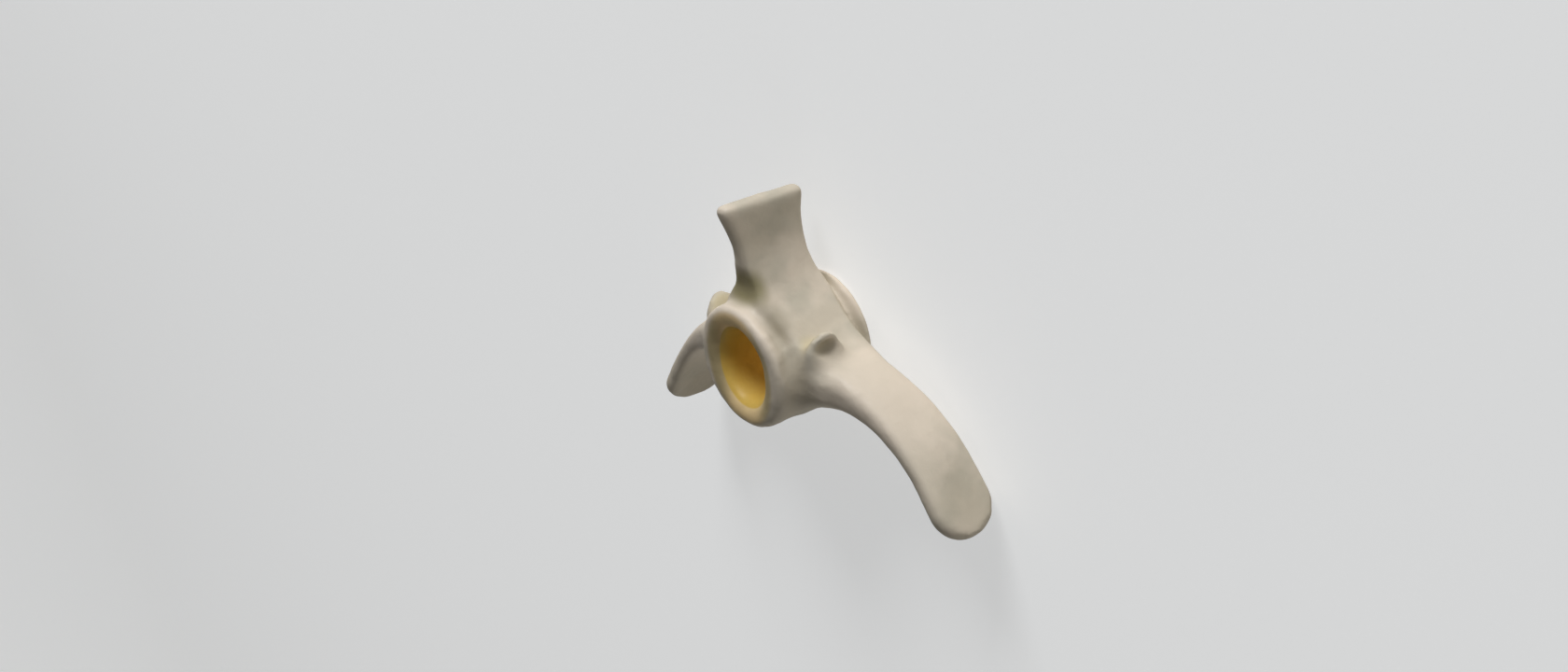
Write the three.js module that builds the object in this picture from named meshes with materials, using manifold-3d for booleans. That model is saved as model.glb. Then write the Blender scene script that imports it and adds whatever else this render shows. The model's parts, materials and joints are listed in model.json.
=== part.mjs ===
import * as THREE from 'three';
import Module from 'manifold-3d';

// Pig lumbar vertebra, life size, standing on the flat caudal end of its body.
// The bone is worked out in anatomical axes, in millimetres: x to the animal's left, y to its tail and
// z to its back, with the canal along y and y = 0 half way along the body.

// Vertebral body: a waisted tube round the canal, with a thick rounded rim at each end
const bodyLength = 36;
const cranialRimRadius = 20;
const caudalRimRadius = 20.6;
const waistRadius = 17.6;
const cranialFlare = 0.08;
const caudalFlare = 0.55;
const rimRounding = 4.4;
const seatInset = 0.6;

// Groove behind each rim: a ring set low, so that it is deepest over the back and fades out below
const cranialGroove = { inset: 7.8, radius: 21.6, drop: 3, halfWidth: 3.1, blend: 5 };
const caudalGroove = { inset: 5.4, radius: 19.4, drop: 0.6, halfWidth: 2.1, blend: 1.5 };

// Vertebral canal: an upright ellipse that runs right through, with a rolled lip
const canalHalfWidth = 9.5;
const canalHalfHeight = 11;
const canalDrop = 0.3;
const canalLipRounding = 6.2;

// Spinous process and lamina: one plate, from the wings over the canal up to the flared top.
// The last three lists give, at each height, its half thickness and its cranial and caudal edges.
const plateTop = 48.4;
const plateTopSlope = 0.03;
const plateFoot = -2;
const plateHeights = [0, 10, 19, 26, 36, plateTop];
const plateHalfThickness = [26.9, 17, 9, 5.2, 2.8, 3.2];
const plateCranialEdge = [-8.4, -9.4, -12.2, -12.1, -12.8, -16.7];
const plateCaudalEdge = [12.4, 12.2, 12.4, 10.9, 10.8, 12.3];
const plateRounding = 2.4;
const plateRearRounding = 2;
const plateRoundness = 0.85;

// Transverse process: a blade that leaves the body's side and curves down to a broad round tip.
// It thins towards its cranial edge. The four lists give its shape at its root, half way and tip.
const bladeRoot = new THREE.Vector2(12, -4.6);
const bladeShoulder = new THREE.Vector2(44, 5.2);
const bladeTip = new THREE.Vector2(69.4, -39);
const bladeHalfWidth = [10.8, 10.2, 11.3];
const bladeHalfThickness = [9.8, 3.6, 3.1];
const bladeMiddle = [-2, 4.7, 5.1];
const bladeFrontTaper = [0.1, 0.4, 0.4];
const bladeTwist = 0.11;
const bladeTipRoundness = 0.92;
const bladeEdgeRoundness = 0.6;
const bladeSteps = 24;

// Cranial articular process: an upright lip on the root of the blade, scooped on its outer side
const lipCentre = new THREE.Vector3(23.2, -4.4, 5);
const lipRadii = new THREE.Vector3(3.4, 6.4, 8.4);
const lipLean = 0.3;
const scoopCentre = new THREE.Vector3(27.8, -4.4, 9.1);
const scoopRadii = new THREE.Vector3(3.4, 4.8, 2.7);

// Widths over which one form runs smoothly into the next
const plateBlend = 4.6;
const plateRearBlend = 1.4;
const rearFrom = 2;
const rearTo = 11;
const bladeBlend = 7.7;
const lipBlend = 4;
const scoopBlend = 2;

// Cells of the faceted surface, finer round the articular processes and the caudal rim, in a box
const coarseCell = 2.2;
const fineCell = 1.3;
const fineFrom = new THREE.Vector3(18, -13, -1);
const fineTo = new THREE.Vector3(31, 18, 14.5);
const reach = new THREE.Vector3(76, 24, 54);
const slopeStep = 0.1;
const settleSteps = 4;
const flattestSlope = 0.25;

// Thin cuts that part the bone where its parts are named
const cutGap = 0.3;
const spinousCut = 23;
const archCut = -1;
const bladeCut = 23;
const lipCut = 6;
const lipInnerCut = 20.6;
const lipRearCut = 3.5;
const cutReach = 200;

const boneColour = 0xcfc4b2;
const boneRoughness = 0.55;

const { clamp, lerp, smoothstep } = THREE.MathUtils;

const smoothMin = (a, b, width) => {
  const share = Math.max(width - Math.abs(a - b), 0) / width;
  return Math.min(a, b) - share * share * width / 4;
};

const smoothMax = (a, b, width) => -smoothMin(-a, -b, width);

// A smooth value along a list of places
const profile = (places, values) => {
  const curve = new THREE.CubicInterpolant(places, values, 1, new Float32Array(1));
  return (place) => curve.evaluate(place)[0];
};

// Distance to a rounded corner, from the distances past each of the sides that meet there
const roundedCorner = (radius, ...past) => {
  const inset = past.map((distance) => distance + radius);
  const outside = Math.hypot(...inset.map((distance) => Math.max(distance, 0)));
  return outside + Math.min(Math.max(...inset), 0) - radius;
};

// Near distance to an ellipsoid, from a point measured from its centre
const ellipsoid = (x, y, z, radii) => {
  const scaled = Math.hypot(x / radii.x, y / radii.y, z / radii.z);
  const slope = Math.hypot(x / radii.x ** 2, y / radii.y ** 2, z / radii.z ** 2);
  return slope > 0 ? scaled * (scaled - 1) / slope : -Math.min(radii.x, radii.y, radii.z);
};

const bodyTube = (x, y, z) => {
  const along = Math.abs(y) / (bodyLength / 2);
  const pastEnd = Math.abs(y) - bodyLength / 2;
  const [rim, flare, groove] = y > 0
    ? [caudalRimRadius, caudalFlare, caudalGroove]
    : [cranialRimRadius, cranialFlare, cranialGroove];
  const radius = lerp(waistRadius, rim, smoothstep(along, flare, 1));
  const tube = smoothMax(Math.hypot(x, z) - radius, pastEnd, rimRounding);
  const fromRing = Math.hypot(Math.hypot(x, z + groove.drop) - groove.radius, pastEnd + groove.inset);
  return smoothMax(tube, groove.halfWidth - fromRing, groove.blend);
};

const canal = (x, z) => Math.hypot(x, (z + canalDrop) * canalHalfWidth / canalHalfHeight) - canalHalfWidth;

// The plate's edge grows crisper towards the tail
const rearward = (y) => smoothstep(y, rearFrom, rearTo);

const plateThicknessAt = profile(plateHeights, plateHalfThickness);
const cranialEdgeAt = profile(plateHeights, plateCranialEdge);
const caudalEdgeAt = profile(plateHeights, plateCaudalEdge);

const spinousPlate = (x, y, z) => {
  const thickness = plateThicknessAt(z);
  const radius = Math.min(thickness * plateRoundness, lerp(plateRounding, plateRearRounding, rearward(y)));
  const pastEdge = Math.max(cranialEdgeAt(z) - y, y - caudalEdgeAt(z));
  const pastEnd = Math.max(z + y * plateTopSlope - plateTop, plateFoot - radius - z);
  return roundedCorner(radius, x - thickness, pastEdge, pastEnd);
};

// The blade's middle line, seen from the front, as short straight steps
const bladeLine = new THREE.QuadraticBezierCurve(bladeRoot, bladeShoulder, bladeTip);
const bladePoints = bladeLine.getSpacedPoints(bladeSteps);
const bladeLength = bladeLine.getLength();
const bladePlaces = [0, bladeLength / 2, bladeLength];
const bladeWidthAt = profile(bladePlaces, bladeHalfWidth);
const bladeThicknessAt = profile(bladePlaces, bladeHalfThickness);
const bladeMiddleAt = profile(bladePlaces, bladeMiddle);
const bladeTaperAt = profile(bladePlaces, bladeFrontTaper);

// How far along the blade a point lies, and how far above its middle line
const alongBlade = (x, z) => {
  const offset = new THREE.Vector2();
  const nearest = { distance: Infinity, along: 0, above: 0 };
  for (let i = 0; i < bladeSteps; i += 1) {
    const step = bladePoints[i + 1].clone().sub(bladePoints[i]);
    offset.set(x, z).sub(bladePoints[i]);
    const above = step.cross(offset);
    const share = clamp(
      offset.dot(step) / step.lengthSq(),
      i === 0 ? -1 : 0,
      i === bladeSteps - 1 ? Infinity : 1,
    );
    const distance = offset.addScaledVector(step, -share).length();
    if (distance < nearest.distance) {
      nearest.distance = distance;
      nearest.along = (i + share) * bladeLength / bladeSteps;
      nearest.above = above < 0 ? -distance : distance;
    }
  }
  return nearest;
};

const transverseBlade = (x, y, z) => {
  const { along, above } = alongBlade(x, z);
  const width = bladeWidthAt(along);
  const thickness = bladeThicknessAt(along);
  const aside = y - bladeMiddleAt(along);
  const pastEnd = Math.max(along - bladeLength, -along - bladeBlend);
  const pastOutline = roundedCorner(width * bladeTipRoundness, pastEnd, Math.abs(aside) - width);
  const height = above + aside * bladeTwist;
  const forward = clamp(-aside / width, 0, 1);
  const top = thickness * (1 - bladeTaperAt(along) * forward ** 2);
  const pastFace = Math.max(height - top, -height - thickness);
  return roundedCorner(thickness * bladeEdgeRoundness, pastOutline, pastFace);
};

const articularLip = (x, y, z) => {
  const up = z - lipCentre.z;
  return ellipsoid(x - lipCentre.x - up * lipLean, y - lipCentre.y, up, lipRadii);
};

// A short hollow in the lip's outer side
const articularScoop = (x, y, z) =>
  ellipsoid(x - scoopCentre.x, y - scoopCentre.y, z - scoopCentre.z, scoopRadii);

// Below zero inside the bone, whose two sides mirror each other
const boneField = (side, y, z) => {
  const x = Math.abs(side);
  const blend = lerp(plateBlend, plateRearBlend, rearward(y));
  let field = smoothMin(bodyTube(x, y, z), spinousPlate(x, y, z), blend);
  field = smoothMin(field, transverseBlade(x, y, z), bladeBlend);
  field = smoothMin(field, articularLip(x, y, z), lipBlend);
  field = smoothMax(field, -articularScoop(x, y, z), scoopBlend);
  return smoothMax(field, -canal(x, z), canalLipRounding);
};

// Moves a point onto the surface, along the slope of the field
const settle = (point) => {
  const slope = new THREE.Vector3();
  for (let i = 0; i < settleSteps; i += 1) {
    const { x, y, z } = point;
    slope.set(
      boneField(x + slopeStep, y, z) - boneField(x - slopeStep, y, z),
      boneField(x, y + slopeStep, z) - boneField(x, y - slopeStep, z),
      boneField(x, y, z + slopeStep) - boneField(x, y, z - slopeStep),
    ).divideScalar(2 * slopeStep);
    point.addScaledVector(slope, -boneField(x, y, z) / Math.max(slope.lengthSq(), flattestSlope));
  }
  return point;
};

// Planes between the cells along one axis
const planesUp = (from, to, fineStart, fineEnd) => {
  const planes = [from];
  while (planes.at(-1) < to) {
    const place = planes.at(-1);
    planes.push(place + (place >= fineStart && place < fineEnd ? fineCell : coarseCell));
  }
  return planes;
};

const leftPlanes = planesUp(0, reach.x, fineFrom.x, fineTo.x);
const planesX = [...leftPlanes.slice(1).reverse().map((place) => -place), ...leftPlanes];
const planesY = planesUp(-reach.y, reach.y, fineFrom.y, fineTo.y);
const planesZ = planesUp(-reach.z, reach.z, fineFrom.z, fineTo.z);

// A cell's corners, and its edges as pairs of corners
const corners = [0, 1, 2, 3, 4, 5, 6, 7].map((n) => [n & 1, (n >> 1) & 1, n >> 2]);
const edges = corners.flatMap((from, n) =>
  [1, 2, 4].filter((bit) => !(n & bit)).map((bit) => [from, corners[n | bit]]));

// The cells round a cell edge along each axis, in turn
const ringsOfCells = [
  [[1, 0, 0], [[0, -1, -1], [0, 0, -1], [0, 0, 0], [0, -1, 0]]],
  [[0, 1, 0], [[-1, 0, -1], [-1, 0, 0], [0, 0, 0], [0, 0, -1]]],
  [[0, 0, 1], [[-1, -1, 0], [0, -1, 0], [0, 0, 0], [-1, 0, 0]]],
];

// Faceted surface of the bone: one point in each cell that the surface crosses, and a pair of triangles
// round each cell edge that it crosses
const boneSurface = () => {
  const indexOf = (i, j, k) => (k * planesY.length + j) * planesX.length + i;
  const values = planesZ.flatMap((z) => planesY.flatMap((y) => planesX.map((x) => boneField(x, y, z))));
  const points = [];
  const pointOfCell = new Map();

  const cellPoint = (i, j, k) => {
    const middle = new THREE.Vector3();
    let crossings = 0;
    edges.forEach(([from, to]) => {
      const a = values[indexOf(i + from[0], j + from[1], k + from[2])];
      const b = values[indexOf(i + to[0], j + to[1], k + to[2])];
      if (a < 0 === b < 0) return;
      const share = a / (a - b);
      middle.x += lerp(planesX[i + from[0]], planesX[i + to[0]], share);
      middle.y += lerp(planesY[j + from[1]], planesY[j + to[1]], share);
      middle.z += lerp(planesZ[k + from[2]], planesZ[k + to[2]], share);
      crossings += 1;
    });
    return settle(middle.divideScalar(crossings));
  };

  const pointIn = (i, j, k) => {
    const cell = indexOf(i, j, k);
    if (!pointOfCell.has(cell)) {
      pointOfCell.set(cell, points.length);
      points.push(cellPoint(i, j, k));
    }
    return pointOfCell.get(cell);
  };

  // How far the middle of a line between two points lies off the surface
  const offSurface = (a, b) => {
    const middle = points[a].clone().lerp(points[b], 0.5);
    return Math.abs(boneField(...middle));
  };

  const triangles = [];
  const addQuad = (a, b, c, d) => {
    const split = offSurface(a, c) < offSurface(b, d);
    triangles.push(...(split ? [a, b, c, a, c, d] : [a, b, d, b, c, d]));
  };

  const addFacets = (i, j, k) => {
    const inside = values[indexOf(i, j, k)] < 0;
    ringsOfCells.forEach(([ahead, ring]) => {
      if (values[indexOf(i + ahead[0], j + ahead[1], k + ahead[2])] < 0 === inside) return;
      const quad = ring.map((cell) => pointIn(i + cell[0], j + cell[1], k + cell[2]));
      addQuad(...(inside ? quad : quad.reverse()));
    });
  };

  for (let k = 1; k < planesZ.length - 1; k += 1) {
    for (let j = 1; j < planesY.length - 1; j += 1) {
      for (let i = 1; i < planesX.length - 1; i += 1) addFacets(i, j, k);
    }
  }
  const geometry = new THREE.BufferGeometry().setFromPoints(points);
  geometry.setIndex(triangles);
  return geometry;
};

const wasm = await Module();
wasm.setup();

const solidOf = (geometry) => new wasm.Manifold(new wasm.Mesh({
  numProp: 3,
  vertProperties: new Float32Array(geometry.attributes.position.array),
  triVerts: new Uint32Array(geometry.index.array),
}));

// A box of space between limits on some of the axes, as a solid to cut with
const region = (limits) => {
  const [x, y, z] = ['x', 'y', 'z'].map((axis) => limits[axis] ?? [-cutReach, cutReach]);
  const geometry = new THREE.BufferGeometry();
  geometry.setFromPoints(corners.map(([i, j, k]) => new THREE.Vector3(x[i], y[j], z[k])));
  const faces = [[0, 2, 3, 1], [4, 5, 7, 6], [0, 1, 5, 4], [2, 6, 7, 3], [0, 4, 6, 2], [1, 3, 7, 5]];
  geometry.setIndex(faces.flatMap(([a, b, c, d]) => [a, b, c, a, c, d]));
  return solidOf(geometry);
};

const largestPiece = (solid) =>
  solid.decompose().reduce((most, piece) => (piece.volume() > most.volume() ? piece : most));

const bone = new THREE.Group();

const addNode = (name, solid) => {
  const { vertProperties, triVerts } = largestPiece(solid).getMesh();
  const geometry = new THREE.BufferGeometry();
  geometry.setAttribute('position', new THREE.BufferAttribute(vertProperties, 3));
  geometry.setIndex(new THREE.BufferAttribute(triVerts, 1));
  geometry.computeVertexNormals();
  const material = new THREE.MeshStandardMaterial({
    color: boneColour,
    roughness: boneRoughness,
    metalness: 0,
  });
  const mesh = new THREE.Mesh(geometry, material);
  mesh.name = name;
  bone.add(mesh);
};

const seat = bodyLength / 2 - seatInset;
const wholeBone = solidOf(boneSurface()).intersect(region({ y: [-cutReach, seat] }));

// Limits of each named part, half a gap away from each cut
const half = cutGap / 2;
const sides = {
  left: (from, to) => [from, to],
  right: (from, to) => [-to, -from],
};
const lipSpace = (span, gap) => region({
  x: span(lipInnerCut + gap, cutReach),
  y: [-cutReach, lipRearCut - gap],
  z: [lipCut + gap, spinousCut],
});
const trunk = region({ x: [half - bladeCut, bladeCut - half], z: [-cutReach, spinousCut - half] });
const withoutLips = Object.values(sides).reduce(
  (solid, span) => solid.subtract(lipSpace(span, -half)),
  wholeBone,
);
const ring = withoutLips.intersect(trunk);

addNode('vertebral_body', ring.intersect(region({ z: [-cutReach, archCut - half] })));
addNode('vertebral_arch', ring.intersect(region({ z: [archCut + half, cutReach] })));
addNode('spinous_process', wholeBone.intersect(region({ z: [spinousCut + half, cutReach] })));
Object.entries(sides).forEach(([side, span]) => {
  const bladeSpace = region({ x: span(bladeCut + half, cutReach) });
  addNode(`transverse_process_${side}`, withoutLips.intersect(bladeSpace));
  addNode(`cranial_articular_process_${side}`, wholeBone.intersect(lipSpace(span, half)));
});

// Stood on its caudal end, with the animal's back along +Y, and centred over the floor
bone.rotation.x = -Math.PI / 2;
bone.position.z = seat;
bone.updateMatrixWorld(true);
bone.position.y = -new THREE.Box3().setFromObject(bone).getCenter(new THREE.Vector3()).y;

const vertebra = new THREE.Group();
vertebra.add(bone);

export default vertebra;
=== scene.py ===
import json
import math

import bpy
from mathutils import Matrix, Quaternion, Vector

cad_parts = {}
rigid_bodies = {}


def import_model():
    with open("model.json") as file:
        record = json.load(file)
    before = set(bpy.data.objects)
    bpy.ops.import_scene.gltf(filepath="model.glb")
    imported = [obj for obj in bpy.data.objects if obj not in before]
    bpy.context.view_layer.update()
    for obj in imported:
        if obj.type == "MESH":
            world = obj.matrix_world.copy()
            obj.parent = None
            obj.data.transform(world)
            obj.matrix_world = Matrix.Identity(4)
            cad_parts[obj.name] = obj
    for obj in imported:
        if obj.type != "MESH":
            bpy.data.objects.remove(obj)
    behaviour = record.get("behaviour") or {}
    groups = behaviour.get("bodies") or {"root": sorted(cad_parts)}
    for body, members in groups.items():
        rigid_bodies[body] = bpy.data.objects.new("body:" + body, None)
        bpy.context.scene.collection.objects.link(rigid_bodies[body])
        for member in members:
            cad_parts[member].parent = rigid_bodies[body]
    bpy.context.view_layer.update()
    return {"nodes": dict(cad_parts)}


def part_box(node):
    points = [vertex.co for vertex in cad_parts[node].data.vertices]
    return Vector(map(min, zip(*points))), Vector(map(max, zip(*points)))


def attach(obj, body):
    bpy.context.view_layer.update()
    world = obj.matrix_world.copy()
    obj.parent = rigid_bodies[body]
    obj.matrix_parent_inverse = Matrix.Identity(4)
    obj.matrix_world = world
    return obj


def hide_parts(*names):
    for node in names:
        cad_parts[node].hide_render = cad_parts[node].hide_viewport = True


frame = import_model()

scene = bpy.context.scene
scene.view_settings.view_transform = "Standard"
canalMiddle = (0.0, -0.0048, 0.0)  # where the canal's axis meets the floor
print("frame loaded:", len(frame["nodes"]), "named parts")


def pickOnly(*objects):
    bpy.ops.object.select_all(action="DESELECT")
    for obj in objects:
        obj.select_set(True)
    bpy.context.view_layer.objects.active = objects[0]


def applyModifier(obj, kind, **values):
    pickOnly(obj)
    modifier = obj.modifiers.new(kind.lower(), kind)
    for name, value in values.items():
        setattr(modifier, name, value)
    bpy.ops.object.modifier_apply(modifier=modifier.name)


# each round moves a point half way to the middle of its neighbours
def smooth(obj, rounds, group=""):
    applyModifier(obj, "SMOOTH", factor=0.5, iterations=rounds, vertex_group=group)


# direction towards a viewer at this azimuth and elevation, in degrees; azimuth 0 looks along +Y
def towards(azimuth, elevation):
    around, above = math.radians(azimuth), math.radians(elevation)
    level = math.cos(above)
    return Vector((math.sin(around) * level, -math.cos(around) * level, math.sin(above)))


# mixes two colours, each a fixed one or the output of a node
def mixColours(tree, share, first, second):
    node = tree.nodes.new("ShaderNodeMix")
    node.data_type = "RGBA"
    sockets = [socket for socket in node.inputs if socket.type == "RGBA"]
    for socket, colour in zip(sockets, (first, second)):
        if isinstance(colour, tuple):
            socket.default_value = colour
        else:
            tree.links.new(colour, socket)
    tree.links.new(share, node.inputs["Factor"])
    return next(socket for socket in node.outputs if socket.type == "RGBA")


# camera
cameraSet = {
    "target": (0.0020, 0.0003, 0.0190),  # the point that it looks at
    "azimuth": 118.41,
    "elevation": 31.26,
    "roll": -113.79,  # turns the bone's back to the top of the picture
    "distance": 0.3925,
    "lens": 30.62,
    "sensor": 36.0,
    "nearest": 0.01,  # nothing closer than this is drawn
}


def addCamera(spec):
    back = towards(spec["azimuth"], spec["elevation"])
    turn = back.to_track_quat("Z", "Y") @ Quaternion((0, 0, 1), math.radians(spec["roll"]))
    place = Vector(spec["target"]) + back * spec["distance"]
    bpy.ops.object.camera_add(location=place, rotation=turn.to_euler())
    camera = bpy.context.object
    camera.name = "camera"
    camera.data.lens = spec["lens"]
    camera.data.sensor_width = spec["sensor"]
    camera.data.clip_start = spec["nearest"]
    scene.camera = camera


addCamera(cameraSet)
print("camera set")


# floor: a wide disc that curves up at its edge
floorSet = {
    "radius": 3.0,
    "cove": 1.5,  # radius of the curve at the edge
    "steps": 12,
    "sides": 96,
    "colour": (0.60, 0.61, 0.62, 1.0),
    "roughness": 0.8,
    "glow": 0.21,  # light that the floor gives to the bone, as a light table does
    "glowColour": (1.0, 0.96, 0.85, 1.0),
    "seenGlow": 0.52,  # and to the camera, for a pale background
    "seenColour": (0.985, 0.995, 1.0, 1.0),
    "canalGlow": 1.5,  # light that comes up through the canal
    "canalReach": (0.006, 0.009),  # distances from its axis between which that light ends
}


def paleTable(spec):
    material = bpy.data.materials.new("paleTable")
    material.use_nodes = True
    nodes, links = material.node_tree.nodes, material.node_tree.links
    shader = nodes["Principled BSDF"]
    shader.inputs["Base Color"].default_value = spec["colour"]
    shader.inputs["Roughness"].default_value = spec["roughness"]

    # light for the bone, more of it under the canal
    fromCanal = nodes.new("ShaderNodeVectorMath")
    fromCanal.operation = "DISTANCE"
    fromCanal.inputs[1].default_value = canalMiddle
    links.new(nodes.new("ShaderNodeTexCoord").outputs["Object"], fromCanal.inputs[0])
    lit = nodes.new("ShaderNodeMapRange")
    lit.inputs["From Min"].default_value, lit.inputs["From Max"].default_value = spec["canalReach"]
    lit.inputs["To Min"].default_value = spec["canalGlow"]
    lit.inputs["To Max"].default_value = spec["glow"]
    links.new(fromCanal.outputs["Value"], lit.inputs["Value"])

    # and an even glow for the camera
    seen = nodes.new("ShaderNodeLightPath").outputs["Is Camera Ray"]
    glow = nodes.new("ShaderNodeMapRange")
    glow.inputs["To Max"].default_value = spec["seenGlow"]
    links.new(lit.outputs["Result"], glow.inputs["To Min"])
    links.new(seen, glow.inputs["Value"])
    links.new(glow.outputs["Result"], shader.inputs["Emission Strength"])
    tint = mixColours(material.node_tree, seen, spec["glowColour"], spec["seenColour"])
    links.new(tint, shader.inputs["Emission Color"])
    return material


def addFloor(spec):
    bpy.ops.object.select_all(action="DESELECT")
    bpy.ops.mesh.primitive_circle_add(vertices=spec["sides"], radius=spec["radius"], fill_type="NGON")
    floor = bpy.context.object
    floor.name = "floor"
    bpy.ops.object.mode_set(mode="EDIT")
    bpy.ops.mesh.select_mode(type="EDGE")
    bpy.ops.mesh.select_all(action="SELECT")
    bpy.ops.mesh.region_to_loop()
    wide, high = spec["radius"], 0.0
    for step in range(1, spec["steps"] + 1):
        angle = math.pi / 2 * step / spec["steps"]
        nextWide = spec["radius"] + spec["cove"] * math.sin(angle)
        nextHigh = spec["cove"] * (1 - math.cos(angle))
        bpy.ops.mesh.extrude_edges_move(TRANSFORM_OT_translate={"value": (0, 0, nextHigh - high)})
        grow = nextWide / wide
        bpy.ops.transform.resize(value=(grow, grow, 1), center_override=(0, 0, nextHigh))
        wide, high = nextWide, nextHigh
    bpy.ops.mesh.select_all(action="SELECT")
    bpy.ops.mesh.normals_make_consistent(inside=False)
    bpy.ops.object.mode_set(mode="OBJECT")
    bpy.ops.object.shade_smooth()
    floor.data.materials.append(paleTable(spec))


addFloor(floorSet)
print("floor laid")


# studio light: broad soft panels, and an even light from all round
lightSet = {
    "aim": (0.0, -0.005, 0.018),
    "around": (1.0, 0.97, 0.9, 1.0),
    "aroundStrength": 0.04,
    "distance": 2.4,
    "panels": [
        {"name": "backPanel", "azimuth": 178, "elevation": 15, "size": 1.1, "power": 37.5},
        {"name": "frontPanel", "azimuth": 15, "elevation": 28, "size": 1.6, "power": 2.8},
        {"name": "farPanel", "azimuth": 262, "elevation": 16, "size": 1.1, "power": 0.3},
    ],
}


def addLights(spec):
    world = bpy.data.worlds.new("studioAir")
    world.use_nodes = True
    air = world.node_tree.nodes["Background"]
    air.inputs["Color"].default_value = spec["around"]
    air.inputs["Strength"].default_value = spec["aroundStrength"]
    scene.world = world
    for panel in spec["panels"]:
        back = towards(panel["azimuth"], panel["elevation"])
        place = Vector(spec["aim"]) + back * spec["distance"]
        turn = back.to_track_quat("Z", "Y").to_euler()
        bpy.ops.object.light_add(type="AREA", location=place, rotation=turn)
        light = bpy.context.object
        light.name = panel["name"]
        light.visible_camera = False
        light.data.shape = "DISK"
        light.data.size = panel["size"]
        light.data.energy = panel["power"]


addLights(lightSet)
print("lights set")


# bone: the named parts fused into one seamless piece
boneShape = {
    "weld": 1e-6,  # points closer than this are one
    "swell": 0.00022,  # lets the parts meet across the thin cuts between them
    "voxel": 0.00055,
    "firstSmooth": 6,  # evens out the facets
    "wideSmooth": 14,  # and then the broad faces, away from what stays crisp
    "lipReach": 0.011,  # distance from the middle of an articular lip that stays crisp
    "lipFade": 0.006,
    "edgeHeight": 0.0052,  # caudal edge of the lamina, which stays crisp too
    "edgeReach": 0.0010,
    "edgeFade": 0.0012,
    "edgeFrom": -0.006,  # from here towards the back
    "seatKept": 0.0004,  # the flat end that the bone stands on stays flat
    "seatFade": 0.002,
    "waves": [
        {"name": "slowWaves", "size": 0.015, "depth": 0.0007},
        {"name": "fineWaves", "size": 0.0035, "depth": 0.00018},
    ],
    "waveDetail": 1,
}


def middleOf(node):
    low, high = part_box(node)
    return (low + high) / 2


# a vertex group whose weights come from a rule on each point's place
def weigh(obj, name, rule):
    group = obj.vertex_groups.new(name=name)
    for vertex in obj.data.vertices:
        weight = rule(vertex.co)
        if weight > 0:
            group.add([vertex.index], min(weight, 1.0), "REPLACE")
    return name


def fuseBone(spec):
    pickOnly(frame["nodes"]["vertebral_body"], *frame["nodes"].values())
    bpy.ops.object.duplicate()
    bpy.ops.object.join()
    bone = bpy.context.object
    bone.name = "bone"
    bpy.ops.object.parent_clear(type="CLEAR_KEEP_TRANSFORM")
    for mark in [name for name in bone.keys() if name.startswith("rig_")]:  # the copy is no CAD node
        del bone[mark]
    bpy.ops.object.mode_set(mode="EDIT")
    bpy.ops.mesh.select_all(action="SELECT")
    bpy.ops.mesh.remove_doubles(threshold=spec["weld"])
    bpy.ops.object.mode_set(mode="OBJECT")
    applyModifier(bone, "DISPLACE", strength=spec["swell"], mid_level=0.0)
    applyModifier(bone, "REMESH", mode="VOXEL", voxel_size=spec["voxel"], use_smooth_shade=True)
    applyModifier(bone, "DISPLACE", strength=-spec["swell"], mid_level=0.0)
    smooth(bone, spec["firstSmooth"])
    return bone


def smoothBroadFaces(bone, spec):
    lips = [middleOf(node) for node in frame["nodes"] if "articular" in node]

    def broad(co):
        fromLip = (min((co - lip).length for lip in lips) - spec["lipReach"]) / spec["lipFade"]
        if co.y < spec["edgeFrom"]:
            return fromLip
        return min(fromLip, (abs(co.z - spec["edgeHeight"]) - spec["edgeReach"]) / spec["edgeFade"])

    smooth(bone, spec["wideSmooth"], weigh(bone, "broadFaces", broad))


# slow and fine unevenness, as on any grown bone
def roughen(bone, spec):
    group = weigh(bone, "aboveSeat", lambda co: (co.z - spec["seatKept"]) / spec["seatFade"])
    for wave in spec["waves"]:
        texture = bpy.data.textures.new(wave["name"], "CLOUDS")
        texture.noise_scale = wave["size"]
        texture.noise_depth = spec["waveDetail"]
        applyModifier(
            bone,
            "DISPLACE",
            texture=texture,
            texture_coords="LOCAL",
            strength=wave["depth"],
            mid_level=0.5,
            vertex_group=group,
        )


bone = fuseBone(boneShape)
smoothBroadFaces(bone, boneShape)
roughen(bone, boneShape)
print("bone fused:", len(bone.data.polygons), "faces")


# hollows pressed into both sides: the middle of each, how far it reaches and how deep it is
boneDents = {
    "plateSide": {"place": (0.0030, 0.0285, 0.0205), "reach": (0.0050, 0.0110, 0.0095), "depth": 0.0004},
    "plateFoot": {"place": (0.0000, 0.0185, 0.0298), "reach": (0.0100, 0.0080, 0.0060), "depth": 0.0011},
    "lipFoot": {"place": (0.0208, -0.0010, 0.0296), "reach": (0.0065, 0.0080, 0.0055), "depth": 0.0012},
    "besideLip": {"place": (0.0213, 0.0013, 0.0121), "reach": (0.0045, 0.0045, 0.0036), "depth": 0.0003},
    "bladeTip": {"place": (0.0655, -0.0310, 0.0095), "reach": (0.0150, 0.0150, 0.0120), "depth": 0.0010},
}


def pressDents(bone, dents):
    deepest = max(dent["depth"] for dent in dents.values())

    def pressed(co):
        total = 0.0
        for dent in dents.values():
            steps = zip((abs(co.x), co.y, co.z), dent["place"], dent["reach"])
            away = sum(((here - there) / reach) ** 2 for here, there, reach in steps)
            total += dent["depth"] / deepest * max(1 - away, 0) ** 2
        return total

    group = weigh(bone, "dents", pressed)
    applyModifier(bone, "DISPLACE", strength=-deepest, mid_level=0.0, vertex_group=group)


pressDents(bone, boneDents)
print("hollows pressed")


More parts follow.
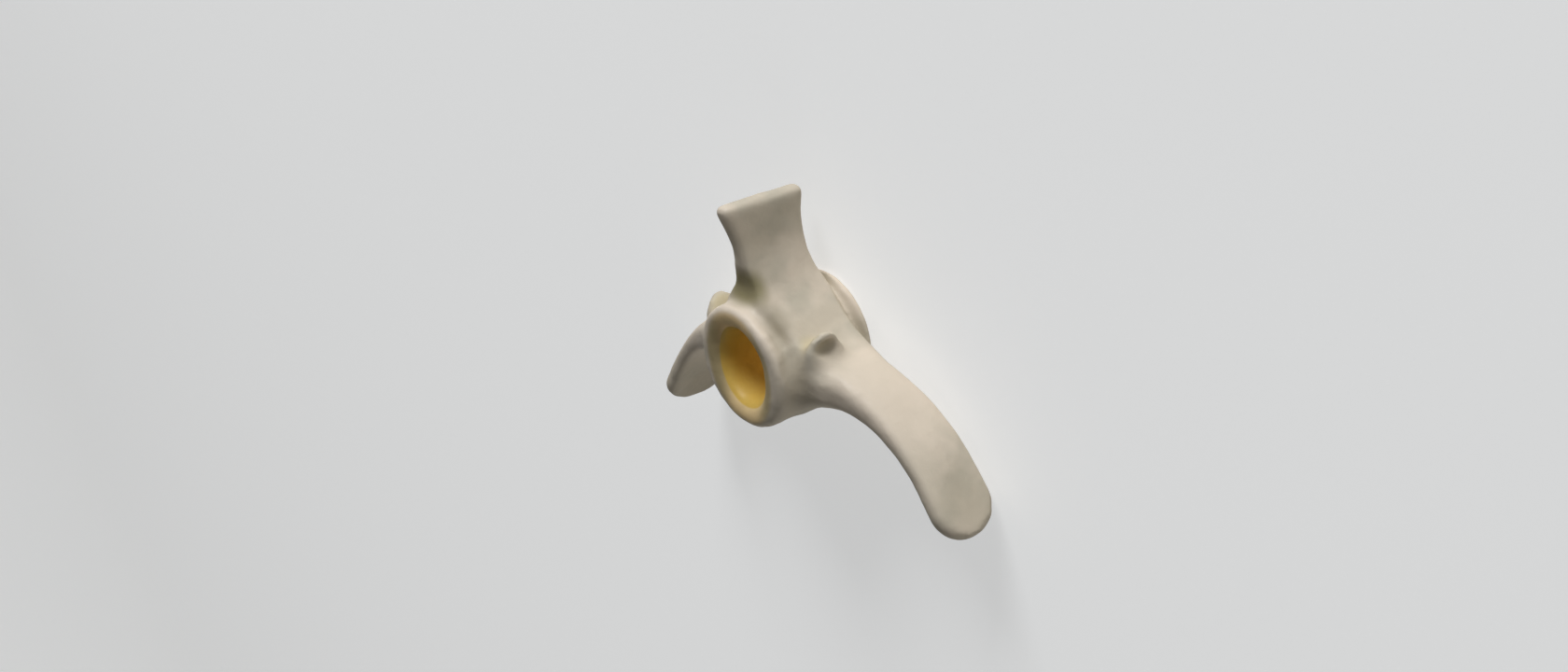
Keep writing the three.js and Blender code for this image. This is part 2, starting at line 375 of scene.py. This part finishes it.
# foramina: small blood vessel holes under the body and in the floor of the canal
foraminaSet = {
    "mouth": 0.00065,  # radius at the wide end of the drill
    "end": 0.0003,
    "length": 0.005,
    "sunk": 0.2,  # share of the length by which the drill's middle is under the surface
    "sides": 16,
    "places": [
        {"at": (0.0046, -0.0212, 0.0188), "inward": (-0.15, 0.95, 0.2)},
        {"at": (-0.0052, -0.0209, 0.0165), "inward": (0.2, 0.95, -0.1)},
        {"at": (0.0022, -0.0156, 0.0172), "inward": (0.1, -1.0, -0.2)},
        {"at": (-0.0024, -0.0156, 0.0180), "inward": (-0.1, -1.0, 0.1)},
    ],
    "ease": 0.0016,  # reach of the softened edge
    "easeRounds": 4,
}


def drillForamina(bone, spec):
    drills = []
    for hole in spec["places"]:
        inward = Vector(hole["inward"]).normalized()
        bpy.ops.object.select_all(action="DESELECT")
        bpy.ops.mesh.primitive_cone_add(
            vertices=spec["sides"],
            radius1=spec["mouth"],
            radius2=spec["end"],
            depth=spec["length"],
            location=Vector(hole["at"]) + inward * spec["length"] * spec["sunk"],
            rotation=inward.to_track_quat("Z", "Y").to_euler(),
        )
        drills.append(bpy.context.object)
    pickOnly(*drills)
    bpy.ops.object.join()
    drill = bpy.context.object
    bpy.ops.object.transform_apply(location=True, rotation=True, scale=True)
    applyModifier(bone, "BOOLEAN", object=drill, operation="DIFFERENCE", solver="MANIFOLD")
    bpy.data.objects.remove(drill)
    mouths = [Vector(hole["at"]) for hole in spec["places"]]
    group = weigh(bone, "foramina", lambda co: 1 - min((co - at).length for at in mouths) / spec["ease"])
    smooth(bone, spec["easeRounds"], group)


drillForamina(bone, foraminaSet)
print("foramina drilled:", len(bone.data.polygons), "faces")


# bone surface: pale and satin, mottled, with painted light on lit faces, painted shade in the hollows, and
# ochre in the canal
boneLook = {
    "pale": (0.74, 0.665, 0.55, 1.0),
    "grey": (0.66, 0.605, 0.50, 1.0),
    "rose": (0.91, 0.80, 0.675, 1.0),
    "paintedShade": (0.44, 0.385, 0.285, 1.0),
    "oliveShade": (0.34, 0.30, 0.16, 1.0),
    "straw": (0.72, 0.62, 0.37, 1.0),
    "honey": (0.95, 0.71, 0.36, 1.0),
    "ochre": (0.81, 0.55, 0.12, 1.0),
    "umber": (0.62, 0.45, 0.10, 1.0),
    "greyMottle": {"scale": 90, "detail": 3},
    "greyRange": (0.38, 0.66),  # values of the noise between which the tone comes in
    "roseMottle": {"scale": 55, "detail": 2, "distortion": 0.4},
    "roseRange": (0.5, 0.72),
    "roseShare": 0.7,
    "canalHalf": (0.0095, 0.011, 1e3),  # half sizes across, and no end along it
    "cranialRim": (0.029, 0.0335),  # heights between which the rose of this rim comes in
    "caudalRim": (0.003, 0.007),  # and goes out at the other one
    "rimReach": (2.1, 2.5),  # each reach here counts from the canal's axis, in its half sizes
    "backFrom": (-0.002, 0.010),  # the rims' paler tone, partly painted light, and the groove's painted shade grow towards the bone's back, the side the key light comes from
    "backShare": (0.1, 0.95),
    "hollowDistance": 0.009,  # how far a point looks round for walls
    "hollowSamples": 6,
    "hollowRange": (0.4, 0.97),  # openness between which the painted shade goes out
    "hollowShare": 0.9,
    "grooveHeight": 0.0270,  # height of the groove behind the cranial rim, where shade is painted
    "grooveFade": (0.0006, 0.0042),
    "grooveShare": 0.9,
    "grooveReach": (1.8, 2.1),
    "waist": 0.0174,  # height half way along the body
    "bevelSlope": 0.011,  # rise of the bevel round the canal over one canal half size
    "bevelFoot": (-0.0014, 0.0008),  # heights over that slope between which its tone comes in
    "bevelReach": (1.45, 1.8),
    "bevelShare": 0.9,
    "bevelSides": (0.005, 0.012),  # distances from the bone's middle between which it turns to olive painted shade
    "bevelShade": 0.7,
    "liningReach": (1.15, 1.20),
    "liningRoof": (-0.010, 0.004),  # the lining is darker under the roof: painted shade
    "dryMottle": {"scale": 220, "detail": 4},
    "dryRange": (0.3, 0.7),
    "roughness": (0.42, 0.58),
    "specular": 0.35,
    "fineGrain": {"scale": 700, "detail": 4, "roughness": 0.6},
    "coarseGrain": {"scale": 240, "detail": 3},
    "coarseShare": 1.6,
    "grainStrength": 0.2,
    "grainDepth": 0.0003,
}

# soft patches on both sides: middle, reach, how much of the reach is full, and the share of the tone there
bonePatches = {
    # middle of each transverse process: paler, painted light
    "midBlade": {"at": (0.044, -0.008, 0.015), "reach": (0.028, 0.024, 0.026), "full": 0.4, "share": 0.75},
    # tip of each transverse process: darker, painted shade
    "bladeTip": {"at": (0.068, -0.036, 0.011), "reach": (0.014, 0.020, 0.016), "full": 0.3, "share": 0.3},
    # foot inside each articular lip: yellower, painted reflected light
    "lipFoot": {"at": (0.0215, 0.0065, 0.023), "reach": (0.005, 0.006, 0.007), "full": 0.4, "share": 0.6},
    # scoop under each articular lip: painted shadow
    "scoop": {"at": (0.0272, 0.0046, 0.0218), "reach": (0.0036, 0.003, 0.0052), "full": 0.6, "share": 0.95},
    # valley between the cranial rim and each lip: painted shade
    "valley": {"at": (0.0205, -0.006, 0.0285), "reach": (0.0085, 0.0125, 0.007), "full": 0.0, "share": 0.7},
    # foot of the spinous plate: olive painted shade
    "plateFoot": {"at": (0.0, 0.019, 0.0285), "reach": (0.014, 0.008, 0.0055), "full": 0.35, "share": 0.9},
}


def boneMaterial(spec, patches):
    material = bpy.data.materials.new("dryBone")
    material.use_nodes = True
    nodes, links = material.node_tree.nodes, material.node_tree.links
    shader = nodes["Principled BSDF"]
    place = nodes.new("ShaderNodeTexCoord").outputs["Object"]

    def noise(scale, detail, roughness=0.5, distortion=0.0):
        node = nodes.new("ShaderNodeTexNoise")
        node.inputs["Scale"].default_value = scale
        node.inputs["Detail"].default_value = detail
        node.inputs["Roughness"].default_value = roughness
        node.inputs["Distortion"].default_value = distortion
        links.new(place, node.inputs["Vector"])
        return node.outputs["Fac"]

    def ranged(value, span, shares=(0.0, 1.0)):
        node = nodes.new("ShaderNodeMapRange")
        node.interpolation_type = "SMOOTHSTEP"
        for name, number in zip(("From Min", "From Max", "To Min", "To Max"), (*span, *shares)):
            node.inputs[name].default_value = number
        links.new(value, node.inputs["Value"])
        return node.outputs["Result"]

    def fading(value, span, share=1.0):
        return ranged(value, span, (share, 0.0))

    def mixed(share, first, second):
        return mixColours(material.node_tree, share, first, second)

    def combined(kind, first, second):
        node = nodes.new("ShaderNodeMath")
        node.operation = kind
        for socket, value in zip(node.inputs, (first, second)):
            if isinstance(value, float):
                socket.default_value = value
            else:
                links.new(value, socket)
        return node.outputs[0]

    def apart(value, middle):
        return combined("ABSOLUTE", combined("SUBTRACT", value, middle), 0.0)

    # distance from a middle, counted in half sizes: one at the surface of that ellipsoid
    def within(middle, halves, source):
        mapping = nodes.new("ShaderNodeMapping")
        mapping.vector_type = "POINT"
        mapping.inputs["Scale"].default_value = [1 / half for half in halves]
        mapping.inputs["Location"].default_value = [-here / half for here, half in zip(middle, halves)]
        links.new(source, mapping.inputs["Vector"])
        length = nodes.new("ShaderNodeVectorMath")
        length.operation = "LENGTH"
        links.new(mapping.outputs["Vector"], length.inputs[0])
        return length.outputs["Value"]

    axes = nodes.new("ShaderNodeSeparateXYZ")
    links.new(place, axes.inputs["Vector"])
    backward, height = axes.outputs["Y"], axes.outputs["Z"]
    fromMiddle = apart(axes.outputs["X"], 0.0)
    fromAxis = within(canalMiddle, spec["canalHalf"], place)
    towardsBack = ranged(backward, spec["backFrom"], spec["backShare"])
    mirror = nodes.new("ShaderNodeCombineXYZ")
    for socket, value in zip(mirror.inputs, (fromMiddle, backward, height)):
        links.new(value, socket)

    def patch(name):
        spot = patches[name]
        away = within(spot["at"], spot["reach"], mirror.outputs["Vector"])
        return fading(away, (spot["full"], 1.0), spot["share"])

    # soft mottling, and a rosier, paler tone at the two rims that grows towards their lit back: partly the
    # rims' pink tone, partly painted light
    colour = mixed(ranged(noise(**spec["greyMottle"]), spec["greyRange"]), spec["pale"], spec["grey"])
    rosy = ranged(noise(**spec["roseMottle"]), spec["roseRange"], (0.0, spec["roseShare"]))
    colour = mixed(rosy, colour, spec["rose"])
    atRims = combined("MAXIMUM", ranged(height, spec["cranialRim"]), fading(height, spec["caudalRim"]))
    onTube = combined("MULTIPLY", atRims, fading(fromAxis, spec["rimReach"]))
    colour = mixed(combined("MULTIPLY", onTube, towardsBack), colour, spec["rose"])

    # paler along the transverse processes, which is painted light; duller and darker at their tips, which
    # is painted shade; yellower inside the articular lips, which is painted reflected light
    for name, tone in (("midBlade", "rose"), ("bladeTip", "paintedShade"), ("lipFoot", "straw")):
        colour = mixed(patch(name), colour, spec[tone])

    # painted shade: darker where the bone's own walls hem a point in, most of all in the scoops under the
    # lips, in the valleys beside them and in the groove behind the cranial rim; and olive painted shade at
    # the spinous plate's foot
    hollow = nodes.new("ShaderNodeAmbientOcclusion")
    hollow.only_local = True
    hollow.samples = spec["hollowSamples"]
    hollow.inputs["Distance"].default_value = spec["hollowDistance"]
    deep = fading(hollow.outputs["AO"], spec["hollowRange"], spec["hollowShare"])
    # painted shade in the groove behind the cranial rim, deepest over the back
    inGroove = fading(apart(height, spec["grooveHeight"]), spec["grooveFade"], spec["grooveShare"])
    for mask in (towardsBack, fading(fromAxis, spec["grooveReach"])):
        inGroove = combined("MULTIPLY", inGroove, mask)
    for dark in (patch("scoop"), patch("valley"), inGroove):
        deep = combined("MAXIMUM", deep, dark)
    colour = mixed(deep, colour, spec["paintedShade"])
    # olive painted shade at the foot of the spinous plate
    colour = mixed(patch("plateFoot"), colour, spec["oliveShade"])

    # honey on the bevels of the two ends, turning to olive painted shade towards their sides, and ochre in
    # the canal, with painted shade under its roof
    rise = combined("MULTIPLY", fromAxis, spec["bevelSlope"])
    onBevel = ranged(combined("SUBTRACT", apart(height, spec["waist"]), rise), spec["bevelFoot"])
    bevel = combined("MULTIPLY", onBevel, fading(fromAxis, spec["bevelReach"], spec["bevelShare"]))
    sideways = ranged(fromMiddle, spec["bevelSides"], (0.0, spec["bevelShade"]))
    colour = mixed(bevel, colour, mixed(sideways, spec["honey"], spec["oliveShade"]))
    # umber under the canal's roof is painted shade
    lining = mixed(ranged(backward, spec["liningRoof"]), spec["ochre"], spec["umber"])
    colour = mixed(fading(fromAxis, spec["liningReach"]), colour, lining)
    links.new(colour, shader.inputs["Base Color"])

    # satin, a little drier in places, over a fine grain
    satin = ranged(noise(**spec["dryMottle"]), spec["dryRange"], spec["roughness"])
    links.new(satin, shader.inputs["Roughness"])
    shader.inputs["Specular IOR Level"].default_value = spec["specular"]
    coarse = combined("MULTIPLY", noise(**spec["coarseGrain"]), spec["coarseShare"])
    grain = nodes.new("ShaderNodeBump")
    grain.inputs["Strength"].default_value = spec["grainStrength"]
    grain.inputs["Distance"].default_value = spec["grainDepth"]
    links.new(combined("ADD", noise(**spec["fineGrain"]), coarse), grain.inputs["Height"])
    links.new(grain.outputs["Normal"], shader.inputs["Normal"])
    return material


bone.data.materials.clear()
bone.data.materials.append(boneMaterial(boneLook, bonePatches))
print("bone finished")

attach(bone, "root")
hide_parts(*frame["nodes"])
